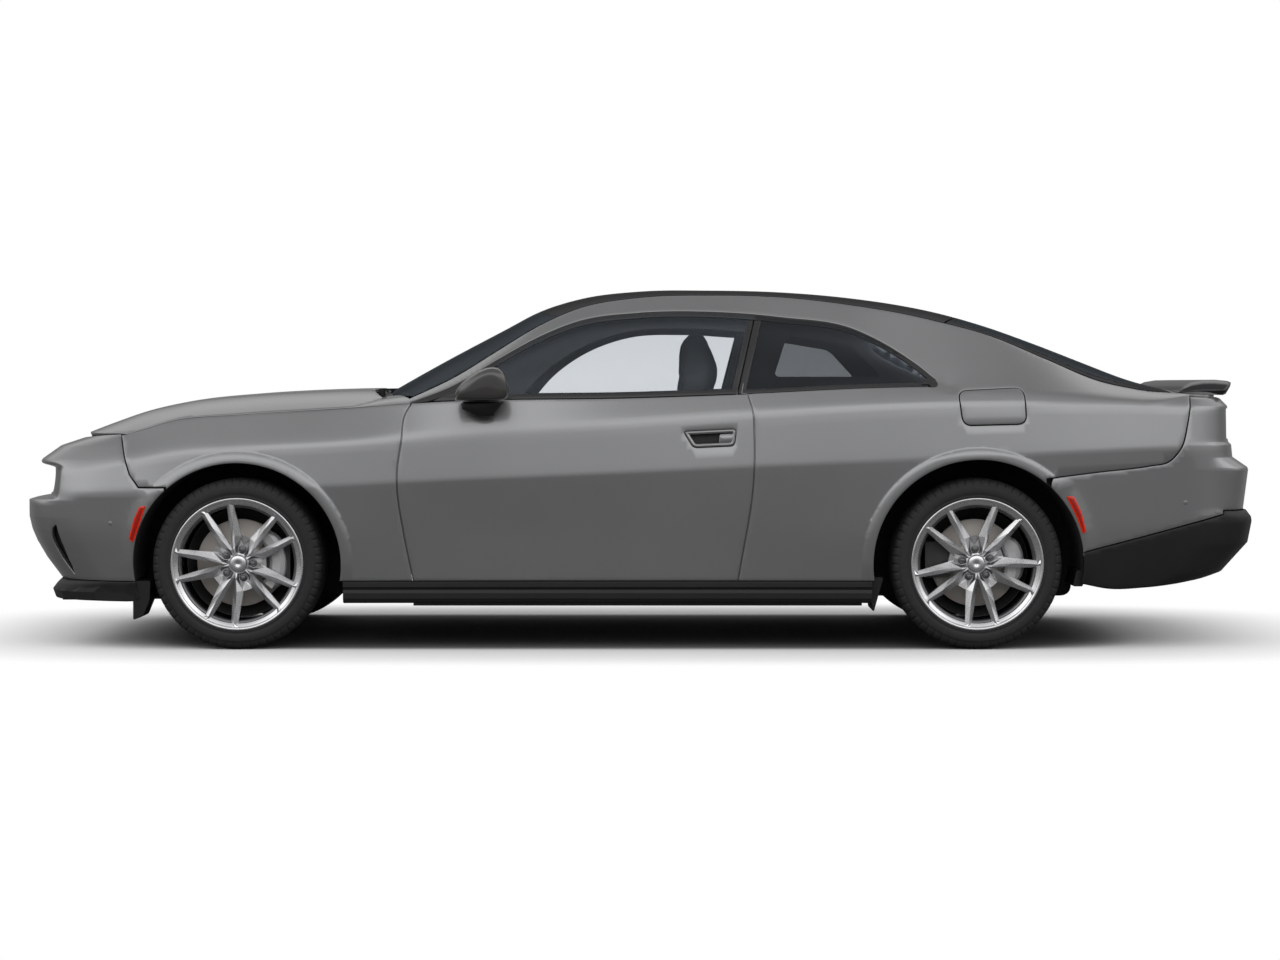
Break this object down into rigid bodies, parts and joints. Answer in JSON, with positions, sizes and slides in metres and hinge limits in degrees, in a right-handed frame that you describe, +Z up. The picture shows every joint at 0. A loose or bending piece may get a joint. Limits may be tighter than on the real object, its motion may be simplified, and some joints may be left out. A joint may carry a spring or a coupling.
{
  "type": "coupe car",
  "caption": "Two-door electric fastback coupe with opening doors, hood, hatch and charge flap, folding mirrors, steered front wheels and turning wheels.",
  "frame": {"origin": "on the ground, at the middle of the car's length and width", "axes": "nose to -X, left side to -Y, +Z up"},
  "size_m": [5.248, 2.204, 1.518],
  "materials": {
    "body_paint": "mid grey metallic clearcoat",
    "black_panel": "gloss black",
    "black_trim": "satin black",
    "tinted_glass": "dark tint",
    "lamp_clear": "clear lens",
    "lamp_red": "red lens",
    "liner": "moulded black",
    "floor": "dark undercoat",
    "battery": "bare",
    "drive": "cast",
    "chassis": "satin black",
    "interior": "grained black",
    "seat": "black",
    "tyre": "black",
    "wheel": "bright silver",
    "disc": "machined"
  },
  "bodies": {
    "body": {"body_side_left": "body_paint", "body_side_right": "body_paint", "roof_panel": "black_panel", "windscreen": "tinted_glass", "quarter_glass_left": "tinted_glass", "quarter_glass_right": "tinted_glass", "fender_left": "body_paint", "fender_right": "body_paint", "front_bumper": "body_paint", "front_grille": "black_panel", "headlamps": "lamp_clear", "front_splitter": "black_trim", "rear_bumper": "body_paint", "rear_valance": "black_trim", "tail_lamps": "lamp_red", "side_skirts": "black_trim", "cowl_panel": "black_trim", "wheel_liners": "liner", "floor_pan": "floor", "battery_pack": "battery", "drive_units": "drive", "front_subframe": "chassis", "rear_suspension": "chassis", "dashboard": "interior", "console": "interior", "front_seats": "seat", "rear_bench": "seat"},
    "hood": {"hood": "body_paint"},
    "hatch": {"hatch": "body_paint", "rear_glass": "tinted_glass", "spoiler": "body_paint"},
    "door_left": {"door_left": "body_paint", "door_glass_left": "tinted_glass"},
    "door_right": {"door_right": "body_paint", "door_glass_right": "tinted_glass"},
    "mirror_left": {"mirror_left": "body_paint"},
    "mirror_right": {"mirror_right": "body_paint"},
    "charge_flap": {"charge_flap": "body_paint"},
    "steering_wheel": {"steering_wheel": "interior"},
    "knuckle_front_left": {"knuckle_front_left": "chassis"},
    "knuckle_front_right": {"knuckle_front_right": "chassis"},
    "wheel_front_left": {"tyre_front_left": "tyre", "rim_front_left": "wheel", "brake_disc_front_left": "disc"},
    "wheel_front_right": {"tyre_front_right": "tyre", "rim_front_right": "wheel", "brake_disc_front_right": "disc"},
    "wheel_rear_left": {"tyre_rear_left": "tyre", "rim_rear_left": "wheel", "brake_disc_rear_left": "disc"},
    "wheel_rear_right": {"tyre_rear_right": "tyre", "rim_rear_right": "wheel", "brake_disc_rear_right": "disc"}
  },
  "joints": [
    {"name": "steer_left", "type": "hinge", "parent": "body", "child": "knuckle_front_left", "pos_m": [-1.672, -0.765, 0.356], "axis": [0, 0, 1], "range_deg": [-35, 35]},
    {"name": "steer_right", "type": "hinge", "parent": "body", "child": "knuckle_front_right", "pos_m": [-1.672, 0.765, 0.356], "axis": [0, 0, 1], "range_deg": [-35, 35]},
    {"name": "steering_wheel_turn", "type": "hinge", "parent": "body", "child": "steering_wheel", "pos_m": [-0.445, -0.39, 0.96], "axis": [0.922, 0, 0.3872], "range_deg": [-490, 490]},
    {"name": "door_left_swing", "type": "hinge", "parent": "body", "child": "door_left", "pos_m": [-0.893, -0.93, 0.6], "axis": [0, 0, -1], "range_deg": [0, 65]},
    {"name": "door_right_swing", "type": "hinge", "parent": "body", "child": "door_right", "pos_m": [-0.893, 0.93, 0.6], "axis": [0, 0, 1], "range_deg": [0, 65]},
    {"name": "hood_lift", "type": "hinge", "parent": "body", "child": "hood", "pos_m": [-1.145, 0, 1.088], "axis": [0, 1, 0], "range_deg": [0, 55]},
    {"name": "hatch_lift", "type": "hinge", "parent": "body", "child": "hatch", "pos_m": [1.3, 0, 1.405], "axis": [0, -1, 0], "range_deg": [0, 65]},
    {"name": "mirror_left_fold", "type": "hinge", "parent": "door_left", "child": "mirror_left", "pos_m": [-0.6, -1, 1.03], "axis": [0, 0, 1], "range_deg": [0, 50]},
    {"name": "mirror_right_fold", "type": "hinge", "parent": "door_right", "child": "mirror_right", "pos_m": [-0.6, 1, 1.03], "axis": [0, 0, -1], "range_deg": [0, 50]},
    {"name": "charge_flap_swing", "type": "hinge", "parent": "body", "child": "charge_flap", "pos_m": [1.333, -0.98909, 0.935], "axis": [0, -0.1587, -0.9873], "range_deg": [0, 85]},
    {"name": "wheel_front_left_spin", "type": "hinge", "parent": "knuckle_front_left", "child": "wheel_front_left", "pos_m": [-1.672, -0.845, 0.356], "axis": [0, 1, 0], "continuous": true},
    {"name": "wheel_front_right_spin", "type": "hinge", "parent": "knuckle_front_right", "child": "wheel_front_right", "pos_m": [-1.672, 0.845, 0.356], "axis": [0, 1, 0], "continuous": true},
    {"name": "wheel_rear_left_spin", "type": "hinge", "parent": "body", "child": "wheel_rear_left", "pos_m": [1.4, -0.845, 0.356], "axis": [0, 1, 0], "continuous": true},
    {"name": "wheel_rear_right_spin", "type": "hinge", "parent": "body", "child": "wheel_rear_right", "pos_m": [1.4, 0.845, 0.356], "axis": [0, 1, 0], "continuous": true}
  ],
  "couplings": [
    {"joint": "steer_right", "follows": "steer_left", "ratio": 1},
    {"joint": "steering_wheel_turn", "follows": "steer_left", "ratio": 14}
  ]
}
